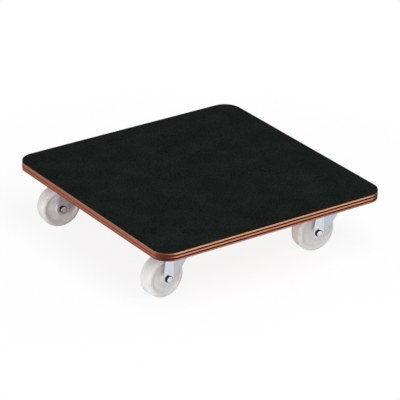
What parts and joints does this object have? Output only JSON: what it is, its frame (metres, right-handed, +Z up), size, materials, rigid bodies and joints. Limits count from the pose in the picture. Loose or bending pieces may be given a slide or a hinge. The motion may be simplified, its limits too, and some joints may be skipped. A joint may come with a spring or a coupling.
{
  "type": "platform dolly",
  "caption": "Low square plywood platform with a black anti-slip mat, carried on swivel plate casters with solid white nylon wheels in zinc-plated forks, for moving heavy goods.",
  "frame": {"origin": "on the floor under the middle of the deck", "axes": "+Z up, +X along the deck's front edge to the right, +Y from the front edge to the back"},
  "size_m": [0.5, 0.5, 0.1235],
  "materials": {
    "plywood": "bare sanded plywood edge",
    "mat_rubber": "matte, finely grained",
    "nylon": "natural-white nylon, satin",
    "zinc_fork": "bright zinc plate, drawn sheet",
    "zinc_plate": "bright zinc plate, flat sheet",
    "zinc_fastener": "bright zinc plate",
    "bearing_steel": "bare ground steel"
  },
  "bodies": {
    "deck": {"deck_board": "plywood", "deck_mat": "mat_rubber", "caster_screws": "zinc_fastener", "front_left_top_plate": "zinc_plate", "front_left_ball_race": "bearing_steel", "front_left_thrust_washer": "bearing_steel", "front_left_kingpin": "bearing_steel", "front_right_top_plate": "zinc_plate", "front_right_ball_race": "bearing_steel", "front_right_thrust_washer": "bearing_steel", "front_right_kingpin": "bearing_steel", "rear_left_top_plate": "zinc_plate", "rear_left_ball_race": "bearing_steel", "rear_left_thrust_washer": "bearing_steel", "rear_left_kingpin": "bearing_steel", "rear_right_top_plate": "zinc_plate", "rear_right_ball_race": "bearing_steel", "rear_right_thrust_washer": "bearing_steel", "rear_right_kingpin": "bearing_steel"},
    "front_left_caster": {"front_left_fork": "zinc_fork", "front_left_axle_tube": "bearing_steel", "front_left_axle_bolt": "zinc_fastener", "front_left_axle_nut": "zinc_fastener"},
    "front_left_roller": {"front_left_wheel": "nylon"},
    "front_right_caster": {"front_right_fork": "zinc_fork", "front_right_axle_tube": "bearing_steel", "front_right_axle_bolt": "zinc_fastener", "front_right_axle_nut": "zinc_fastener"},
    "front_right_roller": {"front_right_wheel": "nylon"},
    "rear_left_caster": {"rear_left_fork": "zinc_fork", "rear_left_axle_tube": "bearing_steel", "rear_left_axle_bolt": "zinc_fastener", "rear_left_axle_nut": "zinc_fastener"},
    "rear_left_roller": {"rear_left_wheel": "nylon"},
    "rear_right_caster": {"rear_right_fork": "zinc_fork", "rear_right_axle_tube": "bearing_steel", "rear_right_axle_bolt": "zinc_fastener", "rear_right_axle_nut": "zinc_fastener"},
    "rear_right_roller": {"rear_right_wheel": "nylon"}
  },
  "joints": [
    {"name": "front_left_swivel", "type": "hinge", "parent": "deck", "child": "front_left_caster", "pos_m": [-0.172, -0.172, 0.0973], "axis": [0, 0, 1], "continuous": true},
    {"name": "front_left_spin", "type": "hinge", "parent": "front_left_caster", "child": "front_left_roller", "pos_m": [-0.20045, -0.17374, 0.04], "axis": [-0.061, 0.9981, 0], "continuous": true},
    {"name": "front_right_swivel", "type": "hinge", "parent": "deck", "child": "front_right_caster", "pos_m": [0.172, -0.172, 0.0973], "axis": [0, 0, 1], "continuous": true},
    {"name": "front_right_spin", "type": "hinge", "parent": "front_right_caster", "child": "front_right_roller", "pos_m": [0.14354, -0.17051, 0.04], "axis": [0.0523, 0.9986, 0], "continuous": true},
    {"name": "rear_left_swivel", "type": "hinge", "parent": "deck", "child": "rear_left_caster", "pos_m": [-0.172, 0.172, 0.0973], "axis": [0, 0, 1], "continuous": true},
    {"name": "rear_left_spin", "type": "hinge", "parent": "rear_left_caster", "child": "rear_left_roller", "pos_m": [-0.20019, 0.17621, 0.04], "axis": [0.1478, 0.989, 0], "continuous": true},
    {"name": "rear_right_swivel", "type": "hinge", "parent": "deck", "child": "rear_right_caster", "pos_m": [0.172, 0.172, 0.0973], "axis": [0, 0, 1], "continuous": true},
    {"name": "rear_right_spin", "type": "hinge", "parent": "rear_right_caster", "child": "rear_right_roller", "pos_m": [0.14354, 0.17051, 0.04], "axis": [-0.0523, 0.9986, 0], "continuous": true}
  ]
}
